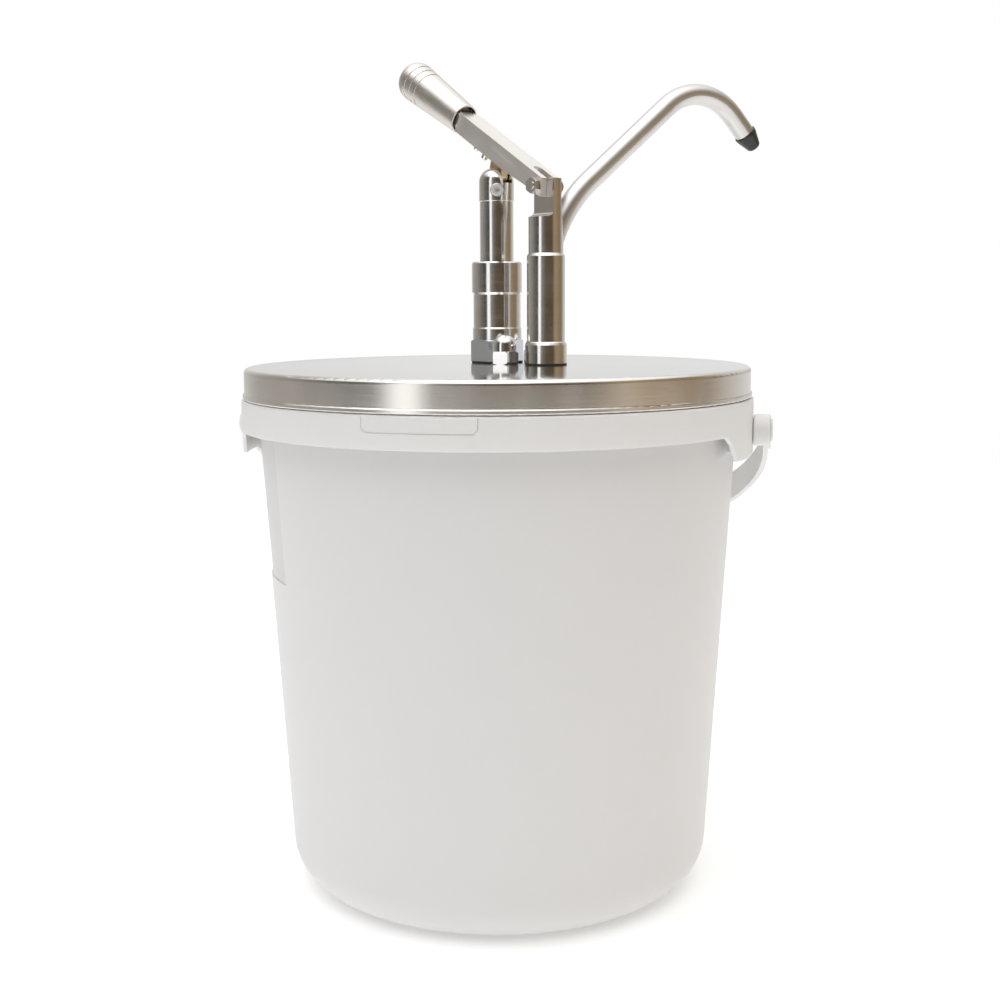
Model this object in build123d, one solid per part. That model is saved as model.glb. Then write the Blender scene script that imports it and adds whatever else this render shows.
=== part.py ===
from build123d import *
from math import asin, cos, degrees, hypot, pi, radians, sin
import os

# Bucket dispenser: a plastic bucket with a bail, a steel lid that sits on the
# bucket, and a lever pump through the lid with a swan-neck spout.
# Millimetres.  Origin at the centre of the bucket's foot ring, on the floor.
# +Z is up, the lever's knob is on the -X side, the spout delivers towards +Y.

# ---------------------------------------------------------------- bucket
base_r = 109.1            # radius of the wall line at the floor
lip_r = 123.1             # radius of the wall line at the collar's lower lip
lip_z = 238.9
heel_r = 23.0             # outside radius between floor and wall
wall_t = 1.8
foot_r = 80.0             # inner radius of the foot ring
foot_h = 1.2
collar_r = 131.6          # outside of the collar that hangs round the wall
collar_z = 254.4          # top of the collar's ledge
rim_z = 267.4             # top of the rim
rim_r = 127.4
ear_az = 36.0             # direction of the bail's axis, degrees from +X
ear_half_deg = 23.0       # half width of an ear, degrees
ear_z = 226.3             # lowest edge of an ear
peg_z = 238.2
peg_r = 4.5
peg_head_r = 5.6
hub_in = 132.0            # inner face of the bail's hub, from the bucket's axis
hub_out = 140.4
tab_az = -57.5            # finger tab on the collar
tab_half_deg = 11.9
tab_z0 = 246.4
tab_corner_r = 3.0
tab_groove = 0.45         # width and depth of the groove round the tab
recess_half_deg = 40.5    # half width of the recess in the wall below the -X ear
recess_z = 165.0          # its lower edge
recess_depth = 0.8        # at the lower edge; it runs out towards the collar
recess_top_depth = 0.25

# ---------------------------------------------------------------- bail
bail_half = 138.0         # half width of the hoop, middle of the strap
bail_arm = 6.0            # straight run beside each hub
bail_w = 16.0
bail_t = 2.5
bail_rib = 20.0           # short rib on the outside of each arm
bail_tilt = 30.0          # how far it hangs below level, degrees
hub_r = 8.0
running_gap = 0.05        # radial clearance of a running fit

# ---------------------------------------------------------------- lid
lid_z = 271.5             # flat middle of the lid, outside
lid_edge_z = 270.1        # start of the edge radius
lid_r = 130.0
lid_edge_r = 2.5
lid_flat_r = 54.0
lid_t = 1.0
hem_z0 = 254.7
hem_z1 = 257.4
hem_r = 130.8
plate_t = 3.0             # clamp plate below the lid
gasket_t = 0.8
dome_r = 6.0

# ---------------------------------------------------------------- pump column
head_r = 8.9              # rod head
head_z0 = 353.2
head_z1 = 370.0
head_round = 7.0
slot_w = 6.0
slot_z = 362.3
screw_az = -40.0          # socket screw that clamps the head to the rod
screw_z = 358.7
screw_seat_r = 6.6
screw_r = 3.25
rod_big_r = 8.6
rod_r = 5.0
rod_step_z = 311.5
band_r = 12.9             # guide sleeve: top band, waist and flare
waist_r = 12.2
flare_r = 12.6
sleeve_top = 322.9
band_z0 = 307.1
flare_z = 289.7
hex_top = 283.5
hex_af = 24.0
shank_r = 10.0
shank_z0 = 249.0
bush_r = 10.4
bush_z0 = 305.0
bush_z1 = 319.0

# ---------------------------------------------------------------- pump below
head_disc_r = 26.0
cyl_r = 22.0
cyl_bore = 19.0
head_disc_z = 251.0
head_disc_t = 8.0
head_neck_r = 13.5
cyl_z0 = 177.5
cyl_z1 = head_disc_z
spigot_z = 245.0
piston_z0 = 230.0
piston_z1 = 244.0
rod_end_z = 222.5
block_z0 = 141.5
seat_edge_r = 4.5
ball_r = 6.0
ball_lift = 4.0
stop_pin_r = 1.25
intake_seat_z = 155.5
outlet_seat_z = 177.5
channel_z = 163.5
channel_r = 4.0
riser_seat_h = 18.0        # outlet seat to the end of the riser pipe
tube_r = 11.0
foot_gap_z = 8.0          # lowest point of the strainer

# ---------------------------------------------------------------- outlet column
outlet_x = 36.4
outlet_r = 9.5
outlet_top_r = 8.65
outlet_step_z = 325.1
shoulder_z = 344.1
tongue_top = 362.5
tongue_x0 = 30.6
tongue_half_y = 2.55
collar_ring_r = 10.45
collar_ring_top = 283.0
thread_r = 8.0

# ---------------------------------------------------------------- spout
spout_az = 77.0           # direction of delivery, degrees from +X
pipe_r = 5.25
pipe_bore = 4.4
pipe_z0 = 298.0
bend_z = 308.8
bend1_r = 69.2
rise_deg = 39.6           # of the long straight run, above level
rise_len = 61.3
bend2_r = 31.0
fall_deg = 45.6           # of the last run, below level
fall_len = 13.4

# ---------------------------------------------------------------- lever
pivot_x = 35.8
pivot_z = 359.0
lever_deg = 31.0          # lever above level at rest
lever_w = 13.0
lever_slot = 5.3          # slot for the tongue and the link
web_t = 2.0               # left above the link's pocket
lever_top = 5.15          # top of the bar above the pivot
lever_low = -4.65
end_s_top = -2.3          # the bar's end face leans
end_s_low = -5.4
web_start = 8.4           # end of the slot in the bar's top
pocket_end = 43.0
nose_s = 64.0
nose_end = 74.0
nose_r = 6.4
pin_s = 38.0              # link pin, along and across the lever
pin_h = -0.55
lever_pin_r = 2.0
clevis_z = 366.8
clevis_r = 1.75
link_play = 2.8           # length of the slotted lower eye
link_clearance = 0.15
link_t = 4.6
link_eye_r = 3.3
knob_h = 0.75
knob_s0 = 71.0
knob_s1 = 123.4
knob_mouth_r = 8.0
knob_wide_s = 114.5
knob_r = 10.4
knob_grooves = (104.0, 108.5, 113.0)
stud_s0 = 61.0
stud_len = 44.0
stop_screws_at = [(46.8, -9.6), (54.4, -8.2)]   # place along the lever, height of the tip
pivot_bolt_r = 2.0
pivot_hex = 7.0

# ---------------------------------------------------------------- helpers


def disc(radius, z0, z1, x=0.0, y=0.0):
    """Upright cylinder between two heights."""
    return Pos(x, y, z0) * Cylinder(radius, z1 - z0, align=(Align.CENTER, Align.CENTER, Align.MIN))


def ring(outer, inner, z0, z1, x=0.0, y=0.0):
    """Upright tube between two heights."""
    return disc(outer, z0, z1, x, y) - disc(inner, z0 - 1, z1 + 1, x, y)


def turned(points, x=0.0):
    """Solid of revolution from (radius, z) points about the upright line at x."""
    face = make_face(Polyline(*[(r, 0, z) for r, z in points], close=True))
    return Pos(x, 0, 0) * revolve(face, Axis.Z)


def hexagon(across_flats, z0, z1, x=0.0, y=0.0, turn=0.0):
    """Upright hexagonal bar; with turn 0 its flats face +Y and -Y."""
    outline = RegularPolygon(across_flats / 2, 6, major_radius=False, rotation=turn)
    return Pos(x, y, z0) * extrude(outline, z1 - z0)


def cross_pin(radius, y0, y1, x, z):
    """Cylinder along Y."""
    return Pos(x, y0, z) * Rot(-90, 0, 0) * Cylinder(
        radius, y1 - y0, align=(Align.CENTER, Align.CENTER, Align.MIN))


def radial_pin(radius, r0, r1, azimuth, z):
    """Cylinder along a horizontal radius of the pump axis."""
    return Rot(0, 0, azimuth) * Pos(r0, 0, z) * Rot(0, 90, 0) * Cylinder(
        radius, r1 - r0, align=(Align.CENTER, Align.CENTER, Align.MIN))


def in_lever(shape):
    """Place a shape drawn in lever axes: X from the pivot to the knob, Y towards -Y, Z across."""
    return Pos(pivot_x, 0, pivot_z) * Rot(0, 180 + lever_deg, 0) * Rot(180, 0, 0) * shape


def wall_r(z):
    """Outside radius of the bucket's wall at a height."""
    return base_r + (lip_r - base_r) * z / lip_z


def sector(outer, inner, z0, z1, azimuth, half_deg):
    """Part of an upright tube, centred on a direction."""
    cut = Rot(0, 0, azimuth) * Pos(0, 0, z0 - 1) * extrude(
        make_face(Polyline((0, 0), (300 * cos(radians(half_deg)), -300 * sin(radians(half_deg))),
                           (300 * cos(radians(half_deg)), 300 * sin(radians(half_deg))), close=True)),
        z1 - z0 + 2)
    return ring(outer, inner, z0, z1) & cut


# ---------------------------------------------------------------- bucket parts


def make_bucket():
    floor_z = foot_h + wall_t
    outline = [
        (0, foot_h), (foot_r, foot_h), (foot_r, 0), (base_r, 0),
        (wall_r(collar_z - wall_t), collar_z - wall_t),
        (collar_r - wall_t, collar_z - wall_t), (collar_r - wall_t, lip_z),
        (collar_r, lip_z), (collar_r, collar_z),
        (wall_r(collar_z), collar_z), (wall_r(rim_z - 4.5), rim_z - 4.5),
        (rim_r, rim_z - 3.5), (rim_r, rim_z),
        (wall_r(rim_z) - wall_t, rim_z), (wall_r(floor_z) - wall_t, floor_z), (0, floor_z)]
    shell = turned(outline)
    heel = shell.edges().filter_by(GeomType.CIRCLE).filter_by(
        lambda e: abs(e.radius - base_r) < 0.01 and abs(e.center().Z) < 0.01)
    shell = fillet(heel, heel_r)
    inner = shell.edges().filter_by(GeomType.CIRCLE).filter_by(
        lambda e: abs(e.radius - wall_r(floor_z) + wall_t) < 0.01)
    shell = fillet(inner, heel_r - wall_t)
    top = shell.edges().filter_by(GeomType.CIRCLE).filter_by(
        lambda e: abs(e.radius - collar_r) < 0.01 and e.center().Z > collar_z - 0.1)
    shell = fillet(top, 1.2)

    # the wall steps in a little below one ear
    inside = turned([
        (0, 100), (wall_r(recess_z) - recess_depth, 100), (wall_r(recess_z) - recess_depth, recess_z),
        (lip_r - recess_top_depth, lip_z), (0, lip_z)])
    shell -= sector(140, 60, recess_z, lip_z - 0.6, ear_az + 180, recess_half_deg) - inside

    for turn in (0, 180):
        # an ear: the collar reaches lower here, with sloping ends, and holds the peg
        skirt = sector(collar_r, collar_r - wall_t, ear_z, lip_z + 1, ear_az + turn, ear_half_deg)
        trim = Rot(0, 0, ear_az + turn) * Rot(0, 0, 90) * Rot(90, 0, 0) * extrude(
            make_face(Polyline((-50, lip_z + 2), (-50, lip_z - 0.5), (-45, lip_z - 4), (-38, ear_z), (38, ear_z),
                               (45, lip_z - 4), (50, lip_z - 0.5), (50, lip_z + 2), close=True)), 200, both=True)
        shell += skirt & trim
        for side in (-24, 0, 24):
            rib = Rot(0, 0, ear_az + turn) * Pos(wall_r(ear_z) + 3.0, side, (ear_z + collar_z) / 2 + 1) * Box(
                14, 1.8, collar_z - ear_z - 4)
            keep = ring(collar_r - 0.5, wall_r(ear_z) - 0.8, ear_z, collar_z - 0.5)
            shell += rib & keep
        peg = Rot(0, 0, ear_az + turn) * Pos(wall_r(peg_z) - 1.0, 0, peg_z) * Rot(0, 90, 0)
        reach = hub_out + 0.1 - wall_r(peg_z) + 1.0
        shell += peg * Cylinder(peg_r, reach, align=(Align.CENTER, Align.CENTER, Align.MIN))
        shell += peg * Pos(0, 0, reach) * Cylinder(
            peg_head_r, 0.9, align=(Align.CENTER, Align.CENTER, Align.MIN))
        shell += peg * Cylinder(7.0, hub_in - 0.3 - wall_r(peg_z) + 1.0,
                                align=(Align.CENTER, Align.CENTER, Align.MIN))

    # finger tab: a panel outlined by a fine groove with rounded corners
    tab_top = collar_z + 6
    across = Plane(origin=(collar_r, 0, (tab_z0 + tab_top) / 2), x_dir=(0, 1, 0), z_dir=(1, 0, 0))
    width = 2 * collar_r * sin(radians(tab_half_deg))
    outline = extrude(across * RectangleRounded(width, tab_top - tab_z0, tab_corner_r), 8, both=True)
    outline -= extrude(across * RectangleRounded(
        width - 2 * tab_groove, tab_top - tab_z0 - 2 * tab_groove, tab_corner_r - tab_groove), 9, both=True)
    face = ring(collar_r + 1, collar_r - tab_groove, tab_z0 - 1, tab_top)
    shell -= (Rot(0, 0, tab_az) * outline) & face
    return shell


def make_bail():
    """Flat strap hoop with a hub at each end, hanging below level on the far side."""
    outer = bail_half + bail_t / 2
    inner = bail_half - bail_t / 2

    def band(r_out, r_in, width):
        solid = extrude(Rectangle(2 * r_out, bail_arm, align=(Align.CENTER, Align.MIN)), width / 2, both=True)
        solid += Pos(0, bail_arm, 0) * extrude(
            Circle(r_out) - Pos(0, -r_out) * Rectangle(2 * r_out, 2 * r_out), width / 2, both=True)
        hole = extrude(Rectangle(2 * r_in, bail_arm + 0.1, align=(Align.CENTER, Align.MIN)), width, both=True)
        hole += Pos(0, bail_arm, 0) * extrude(
            Circle(r_in) - Pos(0, -r_in) * Rectangle(2 * r_in, 2 * r_in), width, both=True)
        return solid - hole

    strap = band(outer, inner, bail_w)
    for side in (-1, 1):
        hub = Pos(side * (hub_in + hub_out) / 2, 0, 0) * Rot(0, 90, 0)
        strap += Pos(side * (outer + 0.4), bail_rib / 2, 0) * Box(1.2, bail_rib, 3.0)
        boss = Cylinder(hub_r, hub_out - hub_in)
        strap += hub * fillet(boss.edges().filter_by(GeomType.CIRCLE), 1.0)
        strap -= hub * Cylinder(peg_r + 2 * running_gap, hub_out - hub_in + 8)
    return Pos(0, 0, peg_z) * Rot(0, 0, ear_az) * Rot(-bail_tilt, 0, 0) * strap


# ---------------------------------------------------------------- lid parts


def lid_surface(offset):
    """Half section of the lid's outside, or of its inside at an offset of the sheet."""
    edge_x = lid_r - lid_edge_r
    drop = lid_z - lid_edge_z
    run = edge_x - lid_flat_r
    mid = (lid_flat_r + run / 2, lid_z - drop / 4 - offset)
    radius = lid_edge_r - offset
    corner = (edge_x + radius * sin(radians(45)), lid_edge_z - lid_edge_r + radius * cos(radians(45)))
    flat = Line((0, 0, lid_z - offset), (lid_flat_r, 0, lid_z - offset))
    crown = ThreePointArc((lid_flat_r, 0, lid_z - offset), (mid[0], 0, mid[1]),
                          (edge_x, 0, lid_edge_z - offset))
    edge = ThreePointArc((edge_x, 0, lid_edge_z - offset), (corner[0], 0, corner[1]),
                         (lid_r - offset, 0, lid_edge_z - lid_edge_r))
    side = Line((lid_r - offset, 0, lid_edge_z - lid_edge_r), (lid_r - offset, 0, hem_z0 + 0.4))
    close = Line((lid_r - offset, 0, hem_z0 + 0.4), (0, 0, hem_z0 + 0.4))
    axis = Line((0, 0, hem_z0 + 0.4), (0, 0, lid_z - offset))
    return revolve(make_face([flat, crown, edge, side, close, axis]), Axis.Z)


def stud_places():
    """The two studs stand midway between the columns, one on each side."""
    return [(outlet_x / 2, -11.5), (outlet_x / 2, 11.5)]


def make_lid():
    lid = lid_surface(0.0) - lid_surface(lid_t)
    hem = ring(hem_r, lid_r - lid_t, hem_z0, hem_z1)
    hem = fillet(hem.edges().filter_by(lambda e: abs(e.bounding_box().size.X - 2 * hem_r) < 0.1), 0.7)
    lid += hem
    lid -= disc(shank_r + 0.2, lid_z - 3, lid_z + 1)
    lid -= disc(thread_r + 0.2, lid_z - 3, lid_z + 1, outlet_x)
    for x, y in stud_places():
        lid -= disc(4.2, lid_z - 3, lid_z + 1, x, y)
    return lid


def make_clamp_plate():
    plate_top = lid_z - lid_t
    outline = Pos(8, 0, plate_top - plate_t) * extrude(RectangleRounded(84, 56, 14), plate_t)
    plate = outline - disc(shank_r + 0.2, 200, 300) - disc(thread_r + 0.2, 200, 300, outlet_x)
    for x, y in stud_places():
        plate -= disc(4.1, 200, 300, x, y)
    return plate


def make_dome_nut(x, y):
    hex_part = hexagon(13.0, lid_z, lid_z + 6.5, x, y, turn=27)
    bevel = Pos(x, y, 0) * turned([(0, lid_z), (6.7, lid_z), (7.6, lid_z + 0.8), (7.6, lid_z + 5.7),
                                   (6.7, lid_z + 6.5), (0, lid_z + 6.5)])
    dome = disc(dome_r, lid_z + 6.5, lid_z + 15.0 - dome_r, x, y)
    dome += Pos(x, y, lid_z + 15.0 - dome_r) * Sphere(dome_r)
    return (hex_part & bevel) + dome - disc(4.0, lid_z - 1, lid_z + 10.5, x, y)


def make_hex_collar():
    bar = hexagon(hex_af, lid_z + gasket_t, hex_top)
    corner_r = hex_af / 2 / cos(radians(30))
    bevel = turned([(0, lid_z), (corner_r, lid_z), (corner_r, hex_top - 0.8),
                    (hex_af / 2 + 0.3, hex_top), (0, hex_top)])
    return (bar & bevel) - disc(shank_r + 0.03, lid_z, hex_top + 1)


def make_guide_sleeve():
    body = turned([
        (0, shank_z0), (shank_r, shank_z0), (shank_r, hex_top), (flare_r, hex_top),
        (flare_r, flare_z - 0.8), (waist_r, flare_z), (waist_r, band_z0 - 0.8),
        (band_r, band_z0 + 0.4), (band_r, sleeve_top - 0.7), (band_r - 0.7, sleeve_top), (0, sleeve_top)])
    bore = turned([
        (0, shank_z0 - 1), (rod_r + 0.06, shank_z0 - 1), (rod_r + 0.06, hex_top + 0.5),
        (rod_big_r + 0.4, hex_top + 0.5), (rod_big_r + 0.4, bush_z0), (bush_r + 0.02, bush_z0),
        (bush_r + 0.02, sleeve_top + 1), (0, sleeve_top + 1)])
    return body - bore


# ---------------------------------------------------------------- rod parts


def make_piston_rod():
    return turned([
        (0, rod_end_z), (4.0, rod_end_z), (4.0, piston_z1), (rod_r, piston_z1), (rod_r, rod_step_z),
        (rod_big_r - 0.6, rod_step_z), (rod_big_r, rod_step_z + 0.6), (rod_big_r, head_z0 - 0.02),
        (rod_r, head_z0 - 0.02), (rod_r, head_z0 + 7.6), (0, head_z0 + 7.6)])


def make_rod_head():
    head = disc(head_r, head_z0, head_z1)
    top = head.edges().filter_by(GeomType.CIRCLE).sort_by(Axis.Z)[-1]
    head = fillet(top, head_round)
    low = head.edges().filter_by(GeomType.CIRCLE).sort_by(Axis.Z)[0]
    head = chamfer(low, 0.3)
    head -= Pos(0, 0, slot_z + 10) * Box(40, slot_w, 20)
    head -= disc(rod_r + 0.02, head_z0 - 1, head_z0 + 7.8)
    head -= cross_pin(clevis_r + 0.01, -5.6, 12, 0, clevis_z)
    head -= radial_pin(screw_r + 0.2, screw_seat_r, 14, screw_az, screw_z)
    head -= radial_pin(2.0, 0, screw_seat_r + 0.1, screw_az, screw_z)
    return head


def make_head_screw():
    screw = radial_pin(screw_r, screw_seat_r + 0.02, 10.4, screw_az, screw_z)
    rim = screw.edges().filter_by(GeomType.CIRCLE).sort_by(lambda e: hypot(e.center().X, e.center().Y))[-1]
    screw = chamfer(rim, 0.4)
    screw += radial_pin(1.97, rod_r + 0.1, screw_seat_r + 0.1, screw_az, screw_z)
    socket = Rot(0, 0, screw_az) * Pos(8.4, 0, screw_z) * Rot(0, 90, 0) * extrude(
        RegularPolygon(1.3, 6, major_radius=False), 3)
    return screw - socket


def make_piston():
    body = disc(cyl_bore - 0.4, piston_z0, piston_z1) - disc(4.03, piston_z0 - 1, piston_z1 + 1)
    for z in (piston_z0 + 2.5, piston_z0 + 9.0):
        body -= ring(cyl_bore, cyl_bore - 2.4, z, z + 2.5)
    return body


def make_piston_seals():
    return [ring(cyl_bore - running_gap, cyl_bore - 2.35, z + 0.02, z + 2.48)
            for z in (piston_z0 + 2.5, piston_z0 + 9.0)]


def make_spring():
    wire = 0.9
    radius = 14.5
    height = piston_z0 - cyl_z0 - 2 * wire - 0.2
    path = Pos(0, 0, cyl_z0 + wire + 0.1) * Helix(pitch=height / 7, height=height, radius=radius)
    section = Plane(origin=path @ 0, z_dir=path % 0) * Circle(wire)
    return sweep(section, path=path, is_frenet=True)


# ---------------------------------------------------------------- pump parts


def make_cylinder_head():
    top = lid_z - lid_t - plate_t
    body = disc(head_disc_r, head_disc_z, head_disc_z + head_disc_t) + disc(cyl_bore - 0.05, spigot_z, cyl_z1)
    body += disc(head_neck_r, head_disc_z, top)
    body = body - disc(shank_r + 0.03, shank_z0, top + 1) - disc(rod_r + 0.06, spigot_z - 1, top)
    return body - disc(8.5, spigot_z - 1, spigot_z + 2.6)


def make_valve_block():
    left = Pos(0, 0, block_z0) * extrude(Circle(25), cyl_z0 - block_z0)
    right = Pos(outlet_x, 0, block_z0) * extrude(Circle(14), cyl_z0 - block_z0)
    bridge = Pos(outlet_x / 2 - 3, 0, (block_z0 + cyl_z0) / 2) * Box(outlet_x + 6, 28, cyl_z0 - block_z0)
    block = left + right + bridge
    block -= disc(tube_r + 0.02, block_z0 - 1, intake_seat_z)
    block -= disc(8.5, intake_seat_z - 1, cyl_z0 + 1)
    channel = Pos(0, 0, channel_z) * Rot(0, 90, 0) * Cylinder(
        channel_r, 60, align=(Align.CENTER, Align.CENTER, Align.MIN))
    block -= channel
    block -= Pos(outlet_x + 7, 0, channel_z) * Rot(0, 90, 0) * Cylinder(
        5.02, 20, align=(Align.CENTER, Align.CENTER, Align.MIN))
    block -= disc(channel_r, channel_z, cyl_z0 + 1, outlet_x)
    block -= disc(8.02, outlet_seat_z - 6, cyl_z0 + 1, outlet_x)
    block -= cross_pin(stop_pin_r + 0.02, -24, 24, 0, stop_height(intake_seat_z))
    return block


def ball_rest(seat_z):
    """Height of a ball's centre where it lies on the seat's edge."""
    return seat_z + (ball_r ** 2 - seat_edge_r ** 2) ** 0.5 + 0.02


def stop_height(seat_z):
    """Height of the pin that ends a ball's lift."""
    return ball_rest(seat_z) + ball_r + ball_lift + stop_pin_r + 0.1


def make_outlet_valve_body():
    shelf_z = outlet_seat_z + riser_seat_h
    body = ring(12.0, 8.0, outlet_seat_z, shelf_z, outlet_x) + ring(12.0, 6.02, shelf_z, shelf_z + 6, outlet_x)
    return body - cross_pin(stop_pin_r + 0.02, -14, 14, outlet_x, stop_height(outlet_seat_z))


def make_strainer():
    cup = disc(14.0, foot_gap_z, 24.0) - disc(9.0, foot_gap_z + 1.5, 17.0)
    cup -= disc(tube_r + 0.02, 16.0, 25.0)
    for k in range(8):
        cup -= Rot(0, 0, 45 * k) * Pos(11, 0, foot_gap_z + 4.5) * Box(12, 3, 5)
    return cup


# ---------------------------------------------------------------- outlet parts


def spout_path():
    """Centre line of the spout: up, out in a wide bend, straight, and over."""
    rise = radians(rise_deg)
    fall = radians(fall_deg)
    bearing = radians(spout_az)
    column = Pos(outlet_x, 0, 0) * Rot(0, 0, spout_az)

    def on_first(angle):
        return Vector(bend1_r - bend1_r * sin(angle), 0, bend_z + bend1_r * cos(angle))

    first_end = on_first(rise)
    second = first_end + Vector(cos(rise), 0, sin(rise)) * rise_len
    centre = second + Vector(sin(rise), 0, -cos(rise)) * bend2_r

    def on_second(angle):
        return centre + Vector(-sin(angle), 0, cos(angle)) * bend2_r

    start = Vector(0, 0, pipe_z0)
    low = Vector(0, 0, bend_z)
    second_end = on_second(-fall)
    tip = second_end + Vector(cos(fall), 0, -sin(fall)) * fall_len
    path = Wire([Line(start, low),
                 ThreePointArc(low, on_first((pi / 2 + rise) / 2), first_end),
                 Line(first_end, second),
                 ThreePointArc(second, on_second((rise - fall) / 2), second_end),
                 Line(second_end, tip)])
    mouth = Plane(origin=(outlet_x + tip.X * cos(bearing), tip.X * sin(bearing), tip.Z),
                  z_dir=(cos(fall) * cos(bearing), cos(fall) * sin(bearing), -sin(fall)))
    return column * path, mouth


def pipe_along(path, radius):
    return sweep(Plane(origin=path @ 0, z_dir=path % 0) * Circle(radius), path=path)


def make_spout():
    path = spout_path()[0]
    return pipe_along(path, pipe_r) - pipe_along(path, pipe_bore)


def make_nozzle():
    mouth = spout_path()[1]
    # drawn upright, with the pipe's end at height 0 and the outlet above it
    cone = turned([(0, -1.2), (5.7, -1.2), (5.9, -0.7), (5.75, 0.8), (3.6, 7.9), (2.8, 8.7), (0, 8.7)])
    cone -= disc(pipe_r + 0.02, -3, 0.02)
    cone -= disc(1.8, -3, 9)
    return mouth * cone


def make_outlet_collar():
    body = turned([
        (0, lid_z + gasket_t), (collar_ring_r, lid_z + gasket_t), (collar_ring_r, collar_ring_top - 1.6),
        (collar_ring_r - 0.5, collar_ring_top - 0.5), (outlet_r, collar_ring_top), (0, collar_ring_top)], outlet_x)
    return body - disc(thread_r + 0.03, 250, 300, outlet_x)


def make_outlet_column():
    bar = turned([
        (0, 256.0), (thread_r, 256.0), (thread_r, collar_ring_top), (outlet_r, collar_ring_top),
        (outlet_r, outlet_step_z), (outlet_top_r, outlet_step_z + 1.4), (outlet_top_r, tongue_top),
        (0, tongue_top)], outlet_x)
    scoop = 3.0
    across = make_face(Polyline((0, -20, 250), (0, 20, 250), (0, 20, shoulder_z),
                                (0, tongue_half_y + scoop, shoulder_z), (0, tongue_half_y, shoulder_z + scoop), (0, tongue_half_y, 400),
                                (0, -tongue_half_y, 400), (0, -tongue_half_y, shoulder_z + scoop),
                                (0, -tongue_half_y - scoop, shoulder_z), (0, -20, shoulder_z), close=True))
    bar &= extrude(across, 100, both=True)
    along = make_face(Polyline((0, 0, 250), (90, 0, 250), (90, 0, 400), (tongue_x0, 0, 400),
                               (tongue_x0, 0, shoulder_z + scoop), (tongue_x0 - scoop, 0, shoulder_z),
                               (0, 0, shoulder_z), close=True))
    bar &= extrude(along, 50, both=True)
    # hollow the corners between tongue and shoulder with the round of a milling cutter
    for side in (-1, 1):
        bar -= Pos(outlet_x, side * (tongue_half_y + scoop), shoulder_z + scoop) * Rot(0, 90, 0) * Cylinder(scoop, 40)
    bar -= Pos(tongue_x0 - scoop, 0, shoulder_z + scoop) * Rot(90, 0, 0) * Cylinder(scoop, 40)
    bar -= disc(pipe_r + 0.02, pipe_z0, bend_z, outlet_x)
    bar -= pipe_along(spout_path()[0], pipe_r + 0.02)
    bar -= disc(pipe_bore, 250, pipe_z0 + 1, outlet_x)
    bar -= disc(6.02, 250, 262.0, outlet_x)
    bar -= cross_pin(pivot_bolt_r + running_gap, -20, 20, pivot_x, pivot_z)
    return bar


# ---------------------------------------------------------------- lever parts


def make_lever():
    side = make_face(Polyline(
        (end_s_top, 0, lever_top - 0.8), (end_s_top + 0.6, 0, lever_top), (nose_s, 0, lever_top),
        (nose_end, 0, knob_h + 4.3), (nose_end, 0, knob_h - 4.3), (nose_s, 0, lever_low + 0.1),
        (25, 0, lever_low), (10, 0, lever_low + 1.1), (end_s_low + 0.6, 0, -3.2), (end_s_low, 0, -2.6), close=True))
    plan = make_face(Polyline(
        (end_s_low - 1, -lever_w / 2), (nose_s, -lever_w / 2), (nose_end, -5.2), (nose_end, 5.2),
        (nose_s, lever_w / 2), (end_s_low - 1, lever_w / 2), close=True))
    bar = extrude(side, 20, both=True) & extrude(plan, 30, both=True)
    # a pocket for the link, milled from below, and a slot right through above the column's tongue
    for reach, top in ((pocket_end, lever_top - web_t), (web_start, 20)):
        bar -= Pos((reach - 20) / 2, 0, top - 20) * Box(reach + 20, lever_slot, 40)
        bar -= Pos(reach, 0, top - 20) * Cylinder(lever_slot / 2, 40)
    # the nose is turned round where it enters the knob
    bar -= Pos(nose_end, 0, knob_h) * Rot(0, 90, 0) * (Cylinder(20, 10) - Cylinder(nose_r, 10))
    bar -= cross_pin(pivot_bolt_r + running_gap, -20, 20, 0, 0)
    bar -= cross_pin(lever_pin_r + 0.01, -20, 5.0, pin_s, pin_h)
    for s, tip in stop_screws_at:
        bar -= Pos(s, 0, -20) * Cylinder(2.0, 22.5, align=(Align.CENTER, Align.CENTER, Align.MIN))
    bar -= Pos(stud_s0, 0, knob_h) * Rot(0, 90, 0) * Cylinder(4.02, 40, align=(Align.CENTER, Align.CENTER, Align.MIN))
    return in_lever(bar)


def make_stop_screws():
    screws = []
    for s, tip in stop_screws_at:
        body = turned([(0, tip), (1.2, tip), (1.98, tip + 0.8), (1.98, 2.4), (0, 2.4)], s)
        socket = Pos(s, 0, tip - 1) * extrude(RegularPolygon(0.8, 6, major_radius=False), 2.5)
        screws.append(in_lever(body - socket))
    return screws


def make_knob():
    side = Line((knob_s0, 0, knob_mouth_r), (knob_wide_s, 0, knob_r))
    end = Bezier((knob_wide_s, 0, knob_r), (knob_wide_s + 6.5, 0, knob_r + 0.4), (knob_s1, 0, 6.8), (knob_s1, 0, 0))
    axis = Line((knob_s1, 0, 0), (knob_s0, 0, 0))
    mouth = Line((knob_s0, 0, 0), (knob_s0, 0, knob_mouth_r))
    body = revolve(make_face([side, end, axis, mouth]), Axis.X)
    body -= Pos(knob_s0 - 1, 0, 0) * Rot(0, 90, 0) * Cone(7.3, 6.7, 13, align=(Align.CENTER, Align.CENTER, Align.MIN))
    body -= Pos(knob_s0, 0, 0) * Rot(0, 90, 0) * Cylinder(4.02, 36, align=(Align.CENTER, Align.CENTER, Align.MIN))
    for s in knob_grooves:
        local_r = knob_r - (knob_r - knob_mouth_r) * (knob_wide_s - s) / (knob_wide_s - knob_s0)
        body -= Pos(s, 0, 0) * Rot(0, 90, 0) * (Cylinder(14, 1.0) - Cylinder(local_r - 0.2, 2))
    return in_lever(Pos(0, 0, knob_h) * body)


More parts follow.
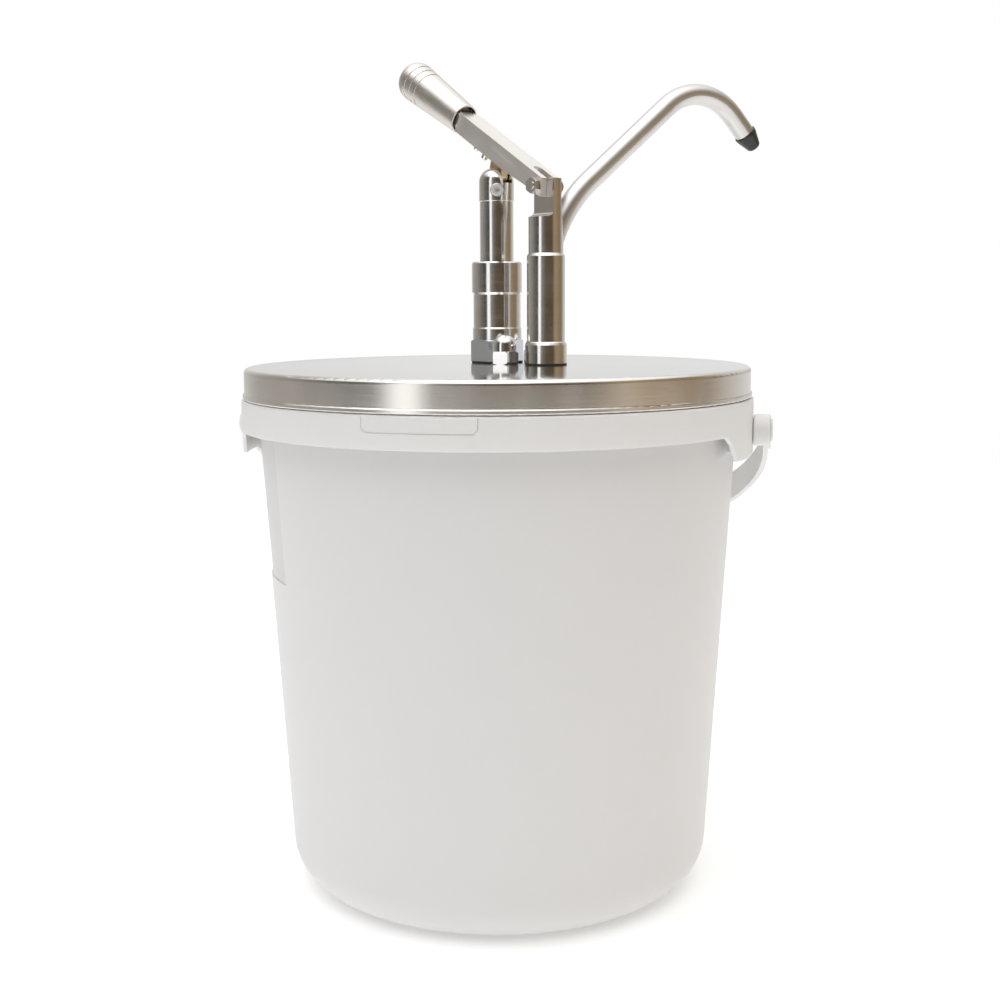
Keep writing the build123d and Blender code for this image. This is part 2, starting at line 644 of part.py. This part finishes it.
def make_link():
    """Short link from the rod head to the lever; its lower eye is slotted."""
    upper = in_lever(Pos(pin_s, 0, pin_h) * Sphere(0.1)).center()
    length = hypot(upper.X, upper.Z - clevis_z)
    lean = degrees(asin(upper.X / length))
    eye = Rot(90, 0, 0)
    body = Pos(0, 0, length) * eye * Cylinder(link_eye_r, link_t)
    body += eye * Cylinder(link_eye_r, link_t) + Pos(link_play, 0, 0) * eye * Cylinder(link_eye_r, link_t)
    outline = make_face(Polyline((-link_eye_r, 0, 0), (link_play + link_eye_r, 0, 0),
                                 (link_eye_r, 0, length), (-link_eye_r, 0, length), close=True))
    body += extrude(outline, link_t / 2, both=True)
    body += Pos(link_play / 2, 0, -link_eye_r / 2) * Box(link_play, link_t, link_eye_r)
    body -= Pos(0, 0, length) * eye * Cylinder(lever_pin_r + running_gap, 6)
    slot_r = clevis_r + link_clearance
    body -= eye * Cylinder(slot_r, 6) + Pos(link_play, 0, 0) * eye * Cylinder(slot_r, 6)
    body -= Pos(link_play / 2, 0, 0) * Box(link_play, 6, 2 * slot_r)
    return Pos(0, 0, clevis_z) * Rot(0, lean, 0) * body


def make_pivot_bolt():
    """Pivot bolt along Y, with its head on the +Y side."""
    head_y = lever_w / 2 + running_gap
    bolt = cross_pin(pivot_bolt_r, -head_y - 3.6, head_y, pivot_x, pivot_z)
    head = Pos(pivot_x, head_y, pivot_z) * Rot(-90, 0, 0) * extrude(
        RegularPolygon(pivot_hex / 2, 6, major_radius=False, rotation=30), 2.8)
    bevel = Pos(pivot_x, head_y, pivot_z) * Rot(-90, 0, 0) * Cone(
        5.4, pivot_hex / 2, 2.8, align=(Align.CENTER, Align.CENTER, Align.MIN))
    return bolt + (head & bevel)


def make_pivot_nut():
    near_y = -lever_w / 2 - running_gap
    nut = Pos(pivot_x, near_y, pivot_z) * Rot(90, 0, 0) * extrude(
        RegularPolygon(pivot_hex / 2, 6, major_radius=False, rotation=30), 3.2)
    bevel = Pos(pivot_x, near_y, pivot_z) * Rot(90, 0, 0) * Cone(
        5.0, 3.85, 3.2, align=(Align.CENTER, Align.CENTER, Align.MIN))
    return (nut & bevel) - cross_pin(pivot_bolt_r + 0.01, near_y - 6, near_y + 1, pivot_x, pivot_z)


def make_parts():
    plate_z = lid_z - lid_t - plate_t
    outlet_end = outlet_x + 7
    return {
        "bucket": make_bucket(),
        "bail": make_bail(),
        "lid": make_lid(),
        "lid_seal": ring(127.2, 122.9, rim_z + 0.02, 269.05),
        "clamp_plate": make_clamp_plate(),
        "lid_studs": [disc(3.98, plate_z - 7.5, lid_z + 9.5, x, y) for x, y in stud_places()],
        "stud_nuts": [hexagon(13, plate_z - 6.5, plate_z, x, y, turn=0) - disc(4.0, 200, 300, x, y)
                      for x, y in stud_places()],
        "dome_nuts": [make_dome_nut(x, y) for x, y in stud_places()],
        "hex_collar": make_hex_collar(),
        "pump_gasket": ring(13.2, shank_r + 0.1, lid_z, lid_z + gasket_t),
        "outlet_gasket": ring(collar_ring_r, thread_r + 0.1, lid_z, lid_z + gasket_t, outlet_x),
        "guide_sleeve": make_guide_sleeve(),
        "rod_bush": ring(bush_r, rod_big_r + running_gap, bush_z0 + 0.02, bush_z1),
        "rod_wiper": ring(bush_r, rod_big_r + 0.02, bush_z1, sleeve_top - 0.6),
        "cylinder_head": make_cylinder_head(),
        "rod_seal": ring(8.48, rod_r + 0.02, spigot_z + 0.1, spigot_z + 2.55),
        "pump_cylinder": ring(cyl_r, cyl_bore, cyl_z0, cyl_z1),
        "return_spring": make_spring(),
        "valve_block": make_valve_block(),
        "intake_seat": ring(tube_r, seat_edge_r, intake_seat_z - 6, intake_seat_z),
        "outlet_seat": ring(8.0, seat_edge_r, outlet_seat_z - 6, outlet_seat_z, outlet_x),
        "ball_stop_pins": [cross_pin(stop_pin_r, -20.5, 20.5, 0, stop_height(intake_seat_z)),
                           cross_pin(stop_pin_r, -11.0, 11.0, outlet_x, stop_height(outlet_seat_z))],
        "channel_plug": Pos(outlet_end, 0, channel_z) * Rot(0, 90, 0) * Cylinder(
            5.0, 6.5, align=(Align.CENTER, Align.CENTER, Align.MIN)),
        "intake_ball": Pos(0, 0, ball_rest(intake_seat_z)) * Sphere(ball_r),
        "outlet_ball": Pos(outlet_x, 0, ball_rest(outlet_seat_z)) * Sphere(ball_r),
        "suction_tube": ring(tube_r, 9.0, 17.0, block_z0 + 8),
        "suction_strainer": make_strainer(),
        "outlet_valve_body": make_outlet_valve_body(),
        "riser_pipe": ring(6.0, pipe_bore, outlet_seat_z + riser_seat_h, 262.0, outlet_x),
        "outlet_lock_nut": hexagon(20.0, plate_z - 8, plate_z, outlet_x) - disc(
            thread_r + 0.03, 200, 300, outlet_x),
        "outlet_collar": make_outlet_collar(),
        "outlet_column": make_outlet_column(),
        "spout_pipe": make_spout(),
        "spout_nozzle": make_nozzle(),
        "pivot_bolt": make_pivot_bolt(),
        "pivot_nut": make_pivot_nut(),
        "piston_rod": make_piston_rod(),
        "rod_head": make_rod_head(),
        "head_screw": make_head_screw(),
        "clevis_pin": cross_pin(clevis_r, -5.5, 7.2, 0, clevis_z),
        "piston": make_piston(),
        "piston_seals": make_piston_seals(),
        "piston_nut": hexagon(13, piston_z0 - 6.5, piston_z0) - disc(4.03, 200, 300),
        "link": make_link(),
        "lever": make_lever(),
        "lever_pin": in_lever(cross_pin(lever_pin_r, 0.05 - lever_w / 2, 4.9, pin_s, pin_h)),
        "stop_screws": make_stop_screws(),
        "knob_stud": in_lever(Pos(stud_s0, 0, knob_h) * Rot(0, 90, 0) * Cylinder(
            4.0, stud_len, align=(Align.CENTER, Align.CENTER, Align.MIN))),
        "knob": make_knob(),
    }


os.makedirs("parts", exist_ok=True)
for node, shape in make_parts().items():
    if isinstance(shape, list):
        shape = Compound(children=shape)
    export_step(shape, "parts/" + node + ".step")
    print(node, round(shape.volume, 1))
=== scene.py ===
import math

import bpy
from mathutils import Matrix, Vector

# Looks of the bucket dispenser.  Metres, in the same frame as the CAD model:
# origin at the centre of the bucket's foot, +Z up, the knob on the -X side, the spout towards +Y.

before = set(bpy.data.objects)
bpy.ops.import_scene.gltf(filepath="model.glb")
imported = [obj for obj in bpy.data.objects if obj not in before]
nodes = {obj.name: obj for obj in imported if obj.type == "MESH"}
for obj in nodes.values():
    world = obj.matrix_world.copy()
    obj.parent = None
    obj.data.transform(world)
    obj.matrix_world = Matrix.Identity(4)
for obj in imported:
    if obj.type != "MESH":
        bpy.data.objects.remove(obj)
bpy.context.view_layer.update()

# places on the object that the materials follow
outlet_x = 0.0364            # axis of the outlet column
lever_rise = 31              # lever above level at rest, degrees
ear_bearing = 36             # the bail's axis, degrees from +X
recess_half = 40.5           # half width of the wall's recess below the ear on the -X side, where the bucket's colour carries painted shade, degrees
recess_low, recess_high = 0.165, 0.2384
wall_out = 0.1232            # outside radius of the wall below the collar
skirt_in, skirt_out = 0.1285, 0.1298   # where the lid's top turns into its skirt

camera_azimuth = 48          # degrees from -Y towards +X


# ---------------------------------------------------------------- node materials

class Shader:
    """A principled material that is built up one node at a time."""

    def __init__(self, name, color, metallic=0.0, roughness=0.5):
        self.material = bpy.data.materials.new(name)
        self.material.use_nodes = True
        self.tree = self.material.node_tree
        self.principled = self.tree.nodes["Principled BSDF"]
        self.put("Base Color", (*color, 1))
        self.put("Metallic", metallic)
        self.put("Roughness", roughness)
        self.bumps = None

    def put(self, socket, value):
        target = self.principled.inputs[socket]
        if isinstance(value, bpy.types.NodeSocket):
            self.tree.links.new(value, target)
        else:
            target.default_value = value

    def node(self, kind, **inputs):
        made = self.tree.nodes.new(kind)
        for key, value in inputs.items():
            if key.startswith("set_"):
                setattr(made, key[4:], value)
                continue
            index = int(key[2:]) if key.startswith("in") and key[2:].isdigit() else key.replace("_", " ")
            if isinstance(value, bpy.types.NodeSocket):
                self.tree.links.new(value, made.inputs[index])
            else:
                made.inputs[index].default_value = value
        return made

    def position(self):
        return self.node("ShaderNodeTexCoord").outputs["Object"]

    def math(self, operation, a, b=0.0):
        return self.node("ShaderNodeMath", set_operation=operation, in0=a, in1=b).outputs[0]

    def scaled(self, vector, scale, turn=(0, 0, 0)):
        mapping = self.node("ShaderNodeMapping", Vector=vector, Scale=scale, Rotation=turn)
        return mapping.outputs[0]

    def noise(self, vector, scale, detail=3.0, rough=0.5):
        made = self.node("ShaderNodeTexNoise", Vector=vector, Scale=scale, Detail=detail, Roughness=rough)
        return made.outputs["Fac"]

    def spread(self, value, low, high, from_low=0.3, from_high=0.7):
        """Map a value from one range to another."""
        made = self.node("ShaderNodeMapRange", Value=value, From_Min=from_low, From_Max=from_high,
                         To_Min=low, To_Max=high)
        return made.outputs[0]

    def tint(self, value, dark, light, from_low=0.3, from_high=0.7):
        amount = self.spread(value, 0, 1, from_low, from_high)
        mix = self.node("ShaderNodeMix", set_data_type="RGBA", in0=amount, in6=(*dark, 1), in7=(*light, 1))
        return mix.outputs[2]

    def bump(self, height, strength, distance):
        made = self.node("ShaderNodeBump", Strength=strength, Distance=distance, Height=height)
        if self.bumps is not None:
            self.tree.links.new(self.bumps, made.inputs["Normal"])
        self.bumps = made.outputs[0]
        self.put("Normal", self.bumps)

    def round_the_axis(self, x=0.0):
        """Angle and height about an upright axis, for marks that run round it."""
        place = self.node("ShaderNodeSeparateXYZ", Vector=self.position())
        across = self.math("SUBTRACT", place.outputs[0], x)
        angle = self.math("ARCTAN2", place.outputs[1], across)
        out = self.math("SQRT", self.math("ADD", self.math("MULTIPLY", across, across),
                                          self.math("MULTIPLY", place.outputs[1], place.outputs[1])))
        return angle, out, place.outputs[2]


def turned_steel(name, color, roughness, x):
    """Turned and polished steel: very fine rings round an upright axis."""
    s = Shader(name, color, 1.0, roughness)
    angle, out, height = s.round_the_axis(x)
    rings = s.node("ShaderNodeCombineXYZ", X=s.math("MULTIPLY", angle, 0.6), Y=s.math("MULTIPLY", out, 2500),
                   Z=s.math("MULTIPLY", height, 2500))
    fine = s.noise(rings.outputs[0], 1.0, 2.0)
    cloud = s.noise(s.position(), 90, 3.0)
    s.put("Base Color", s.tint(cloud, tuple(c * 0.93 for c in color), color))
    s.put("Roughness", s.math("ADD", s.spread(fine, roughness * 0.7, roughness * 1.3),
                              s.spread(cloud, -0.02, 0.03)))
    s.bump(fine, 0.06, 0.0002)
    return s.material


def brushed_steel(name, color, roughness, direction, strength=0.12):
    """Steel brushed along one direction: long narrow marks."""
    s = Shader(name, color, 1.0, roughness)
    along = Vector(direction).normalized()
    turn = along.to_track_quat("X", "Z").to_matrix().inverted().to_euler()
    turned = s.scaled(s.position(), (1, 1, 1), turn)
    lined = s.scaled(turned, (30, 2600, 2600))
    marks = s.noise(lined, 1.0, 3.0, 0.6)
    cloud = s.noise(s.position(), 60, 4.0, 0.6)
    s.put("Base Color", s.tint(marks, tuple(c * 0.94 for c in color), color))
    s.put("Roughness", s.math("ADD", s.spread(marks, roughness * 0.8, roughness * 1.25),
                              s.spread(cloud, -0.03, 0.04)))
    s.bump(marks, strength, 0.0002)
    return s.material


def satin_steel(name, color, roughness):
    """Satin-polished tube: a fine even grain that follows every bend."""
    s = Shader(name, color, 1.0, roughness)
    grain = s.noise(s.position(), 2200, 2.0)
    cloud = s.noise(s.position(), 50, 4.0, 0.6)
    s.put("Base Color", s.tint(cloud, tuple(c * 0.95 for c in color), color))
    s.put("Roughness", s.math("ADD", s.spread(grain, roughness * 0.95, roughness * 1.06),
                              s.spread(cloud, -0.02, 0.03)))
    s.bump(grain, 0.01, 0.0001)
    return s.material


def lid_steel(name):
    """Cold-rolled sheet: polished on top, brushed round the skirt."""
    top_color = (0.79, 0.78, 0.76)
    side_color = (0.84, 0.81, 0.765)
    s = Shader(name, top_color, 1.0, 0.2)
    angle, out, height = s.round_the_axis()
    side = s.spread(out, 0, 1, skirt_in, skirt_out)
    lines = s.node("ShaderNodeCombineXYZ", X=s.math("MULTIPLY", angle, 3.0),
                   Z=s.math("MULTIPLY", height, 3600))
    marks = s.noise(lines.outputs[0], 1.0, 3.0, 0.65)
    patches = s.noise(s.scaled(s.position(), (60, 60, 8)), 1.0, 3.0, 0.5)
    cloud = s.noise(s.position(), 14, 5.0, 0.55)
    scuffs = s.noise(s.position(), 160, 6.0, 0.7)
    top_rough = s.math("ADD", s.spread(cloud, 0.08, 0.14), s.spread(scuffs, -0.01, 0.03, 0.5, 0.75))
    side_rough = s.math("ADD", s.spread(marks, 0.19, 0.25), s.spread(patches, -0.02, 0.03))
    s.put("Roughness", s.node("ShaderNodeMix", in0=side, in2=top_rough, in3=side_rough).outputs[0])
    side_tint = s.tint(marks, tuple(c * 0.96 for c in side_color), side_color)
    color = s.node("ShaderNodeMix", set_data_type="RGBA", in0=side, in6=(*top_color, 1), in7=side_tint)
    s.put("Base Color", color.outputs[2])
    s.bump(s.math("MULTIPLY", marks, side), 0.04, 0.0002)
    return s.material


def bucket_plastic(name):
    """Translucent white polypropylene with a faint mould texture, and painted shade in the recess below the
    ear.
    """
    color = (0.855, 0.85, 0.84)
    s = Shader(name, color, 0.0, 0.42)
    cloud = s.noise(s.position(), 9, 4.0, 0.5)
    grain = s.noise(s.position(), 1400, 2.0)
    # painted shade: the recess below the ear on the -X side is painted a little greyer, standing in for the
    # shade that falls there
    angle, out, height = s.round_the_axis()
    from_ear = s.math("SUBTRACT", angle, math.radians(ear_bearing))
    facing_ear = s.math("MULTIPLY", s.math("COSINE", from_ear), -1.0)
    in_band = s.math("MULTIPLY", s.math("GREATER_THAN", height, recess_low),
                     s.math("LESS_THAN", height, recess_high))
    in_sector = s.math("GREATER_THAN", facing_ear, math.cos(math.radians(recess_half)))
    recess_painted_shade = s.math("MULTIPLY", in_band, in_sector)
    recess_painted_shade = s.math("MULTIPLY", recess_painted_shade, s.math("LESS_THAN", out, wall_out))
    # painted shade: the colour is made 7 percent darker inside the recess
    cloud_tone_and_painted_shade = s.math("SUBTRACT", s.spread(cloud, 0.985, 1.0), s.math("MULTIPLY", recess_painted_shade, 0.07))
    s.put("Base Color", s.tint(cloud_tone_and_painted_shade, (0, 0, 0), color, 0.0, 1.0))
    s.put("Roughness", s.spread(grain, 0.38, 0.46))
    s.put("Subsurface Weight", 0.35)
    s.put("Subsurface Radius", (0.010, 0.010, 0.009))
    s.put("Subsurface Scale", 0.6)
    s.put("Specular IOR Level", 0.35)
    s.bump(grain, 0.05, 0.0001)
    return s.material


def plain_plastic(name, color, roughness, grain_scale=900, strength=0.08):
    s = Shader(name, color, 0.0, roughness)
    grain = s.noise(s.position(), grain_scale, 3.0)
    cloud = s.noise(s.position(), 40, 3.0)
    s.put("Base Color", s.tint(cloud, tuple(c * 0.92 for c in color), color))
    s.put("Roughness", s.spread(grain, roughness * 0.9, roughness * 1.12))
    s.bump(grain, strength, 0.0002)
    return s.material


bright = (0.80, 0.785, 0.76)
lever_along = (-math.cos(math.radians(lever_rise)), 0, math.sin(math.radians(lever_rise)))
column_steel = turned_steel("turned_steel_pump", bright, 0.15, 0.0)
outlet_steel = turned_steel("turned_steel_outlet", bright, 0.15, outlet_x)
# painted reflection: the blue tint in this steel's colour stands in for a bluish reflection on the flats
hex_steel_painted_reflection = brushed_steel("ground_steel", (0.85, 0.90, 0.98), 0.2, (0, 0, 1), 0.05)
small_steel = brushed_steel("plated_steel", (0.82, 0.81, 0.80), 0.1, (0, 1, 0), 0.04)
lever_steel = brushed_steel("lever_steel", (0.88, 0.855, 0.815), 0.4, lever_along, 0.1)
knob_steel = brushed_steel("knob_steel", (0.75, 0.715, 0.67), 0.34, lever_along, 0.03)
pipe_steel = satin_steel("pipe_steel", (0.69, 0.68, 0.665), 0.36)
zinc = brushed_steel("screw_zinc", (0.86, 0.855, 0.845), 0.55, (0, 1, 0), 0.03)
brass = brushed_steel("link_brass", (0.74, 0.58, 0.34), 0.3, (0, 0, 1), 0.1)
spring_steel = brushed_steel("spring_wire", (0.5, 0.5, 0.51), 0.3, (0, 0, 1), 0.1)
rubber = plain_plastic("black_rubber", (0.02, 0.02, 0.02), 0.7)
black = plain_plastic("black_nozzle", (0.022, 0.021, 0.02), 0.35)
white = plain_plastic("white_machined_plastic", (0.84, 0.84, 0.82), 0.45)
bail_white = plain_plastic("bail_plastic", (0.88, 0.875, 0.865), 0.4, 1400, 0.015)

node_materials = {
    column_steel: ["guide_sleeve", "piston_rod", "rod_head", "pump_cylinder", "intake_ball", "intake_seat"],
    outlet_steel: ["outlet_column", "outlet_collar", "outlet_seat", "outlet_ball", "riser_pipe"],
    hex_steel_painted_reflection: ["hex_collar", "clamp_plate", "outlet_lock_nut", "stud_nuts"],
    small_steel: ["dome_nuts", "lid_studs", "ball_stop_pins", "channel_plug", "pivot_bolt", "pivot_nut",
                  "clevis_pin", "piston_nut", "lever_pin", "stop_screws", "knob_stud"],
    lever_steel: ["lever"],
    zinc: ["head_screw"],
    knob_steel: ["knob"],
    pipe_steel: ["spout_pipe"],
    brass: ["link"],
    spring_steel: ["return_spring"],
    rubber: ["pump_gasket", "outlet_gasket", "rod_wiper", "rod_seal", "piston_seals"],
    black: ["spout_nozzle"],
    white: ["lid_seal", "rod_bush", "cylinder_head", "valve_block", "suction_tube", "suction_strainer",
            "outlet_valve_body", "piston"],
    bail_white: ["bail"],
    lid_steel("lid_sheet"): ["lid"],
    bucket_plastic("bucket_plastic"): ["bucket"],
}
for material, names in node_materials.items():
    for name in names:
        mesh = nodes[name].data
        mesh.materials.clear()
        mesh.materials.append(material)


# ---------------------------------------------------------------- studio

def make_floor():
    bpy.ops.mesh.primitive_circle_add(vertices=96, radius=1.9, fill_type="NGON", location=(0, 0, 0))
    floor = bpy.context.object
    floor.name = "studio_floor"
    s = Shader("studio_floor", (0.90, 0.90, 0.90), 0.0, 0.8)
    s.put("Base Color", s.tint(s.noise(s.position(), 6, 3.0), (0.895, 0.895, 0.895), (0.905, 0.905, 0.905)))
    s.put("Specular IOR Level", 0.1)
    # the white paper is lit from below as well, so that it stays pale at the horizon
    s.put("Emission Color", (1, 1, 1, 1))
    s.put("Emission Strength", 0.24)
    floor.data.materials.append(s.material)


def make_surroundings():
    """A white studio with grey, dark and warm walls round the horizon, which the steel mirrors."""
    world = bpy.data.worlds.new("studio")
    bpy.context.scene.world = world
    world.use_nodes = True
    tree = world.node_tree
    tree.nodes.clear()

    def add(kind, **settings):
        made = tree.nodes.new(kind)
        for key, value in settings.items():
            setattr(made, key, value)
        return made

    def link(a, b):
        tree.links.new(a, b)

    def calc(operation, a, b=None):
        made = add("ShaderNodeMath", operation=operation)
        for slot, value in enumerate((a, b)):
            if isinstance(value, bpy.types.NodeSocket):
                link(value, made.inputs[slot])
            elif value is not None:
                made.inputs[slot].default_value = value
        return made.outputs[0]

    place = add("ShaderNodeSeparateXYZ")
    link(add("ShaderNodeTexCoord").outputs["Generated"], place.inputs[0])
    # bearing 0 is the camera's side, bearings grow counter-clockwise, a full turn is 1
    heading = calc("ARCTAN2", place.outputs[1], place.outputs[0])
    turn = calc("DIVIDE", calc("ADD", heading, math.radians(90 - camera_azimuth + 180)), 2 * math.pi)
    turn = calc("FRACT", turn)
    ramp = add("ShaderNodeValToRGB")
    link(turn, ramp.inputs[0])
    walls = [
        (-180, (0.82, 0.82, 0.82)), (-152, (0.58, 0.57, 0.55)), (-135, (0.40, 0.39, 0.37)),
        (-108, (0.32, 0.30, 0.27)), (-92, (0.25, 0.235, 0.21)), (-80, (0.16, 0.15, 0.135)),
        (-68, (0.13, 0.125, 0.115)), (-58, (0.06, 0.058, 0.055)), (-50, (0.08, 0.08, 0.08)),
        (-47, (1.3, 1.3, 1.31)), (-35, (1.3, 1.3, 1.31)), (-31, (0.28, 0.27, 0.255)),
        (-12, (0.15, 0.13, 0.108)), (0, (0.105, 0.080, 0.053)), (22, (0.105, 0.076, 0.045)),
        (39, (0.105, 0.072, 0.040)), (49, (0.30, 0.225, 0.14)), (60, (0.37, 0.275, 0.165)),
        (82, (0.29, 0.21, 0.125)), (104, (0.25, 0.185, 0.12)), (118, (0.50, 0.46, 0.41)),
        (140, (0.66, 0.65, 0.63)), (160, (0.78, 0.78, 0.77))]
    stops = ramp.color_ramp.elements
    while len(stops) < len(walls):
        stops.new(0.5)
    for stop, (bearing, color) in zip(stops, walls):
        stop.position = (bearing + 180) / 360
        stop.color = (*color, 1)
    height = calc("ARCSINE", place.outputs[2])
    above = add("ShaderNodeMapRange", interpolation_type="SMOOTHSTEP")
    link(calc("ABSOLUTE", height), above.inputs[0])
    for slot, value in zip((1, 2, 3, 4), (math.radians(28), math.radians(52), 0, 1)):
        above.inputs[slot].default_value = value
    mixed = add("ShaderNodeMix", data_type="RGBA")
    link(above.outputs[0], mixed.inputs[0])
    link(ramp.outputs[0], mixed.inputs[6])
    mixed.inputs[7].default_value = (1.18, 1.18, 1.18, 1)
    lights = add("ShaderNodeBackground")
    link(mixed.outputs[2], lights.inputs[0])
    backdrop = add("ShaderNodeBackground")
    backdrop.inputs[0].default_value = (1, 1, 1, 1)
    seen = add("ShaderNodeMixShader")
    link(add("ShaderNodeLightPath").outputs["Is Camera Ray"], seen.inputs[0])
    link(lights.outputs[0], seen.inputs[1])
    link(backdrop.outputs[0], seen.inputs[2])
    link(seen.outputs[0], add("ShaderNodeOutputWorld").inputs[0])


def make_light(name, place, target, size, power):
    data = bpy.data.lights.new(name, "AREA")
    data.shape = "RECTANGLE"
    data.size, data.size_y = size
    data.energy = power
    light = bpy.data.objects.new(name, data)
    bpy.context.scene.collection.objects.link(light)
    light.location = place
    light.rotation_euler = (Vector(target) - Vector(place)).to_track_quat("-Z", "Y").to_euler()


def make_camera():
    data = bpy.data.cameras.new("camera")
    data.lens = 51.06
    data.sensor_width = 36
    camera = bpy.data.objects.new("camera", data)
    bpy.context.scene.collection.objects.link(camera)
    bearing = math.radians(camera_azimuth)
    distance = 0.74
    place = Vector((math.sin(bearing) * distance, -math.cos(bearing) * distance, 0.3069))
    camera.location = place
    look = Matrix.Rotation(bearing - math.radians(0.08), 3, "Z")
    look = look @ Matrix.Rotation(math.radians(90 - 8.29), 3, "X")
    look = look @ Matrix.Rotation(math.radians(-0.28), 3, "Z")
    camera.rotation_euler = look.to_euler()
    data.clip_start = 0.01
    data.clip_end = 50
    bpy.context.scene.camera = camera


make_floor()
make_surroundings()
make_light("top_softbox", (0.2, -0.5, 2.2), (0, 0, 0.2), (2.4, 2.4), 16)
make_camera()
bpy.context.scene.view_settings.view_transform = "Standard"
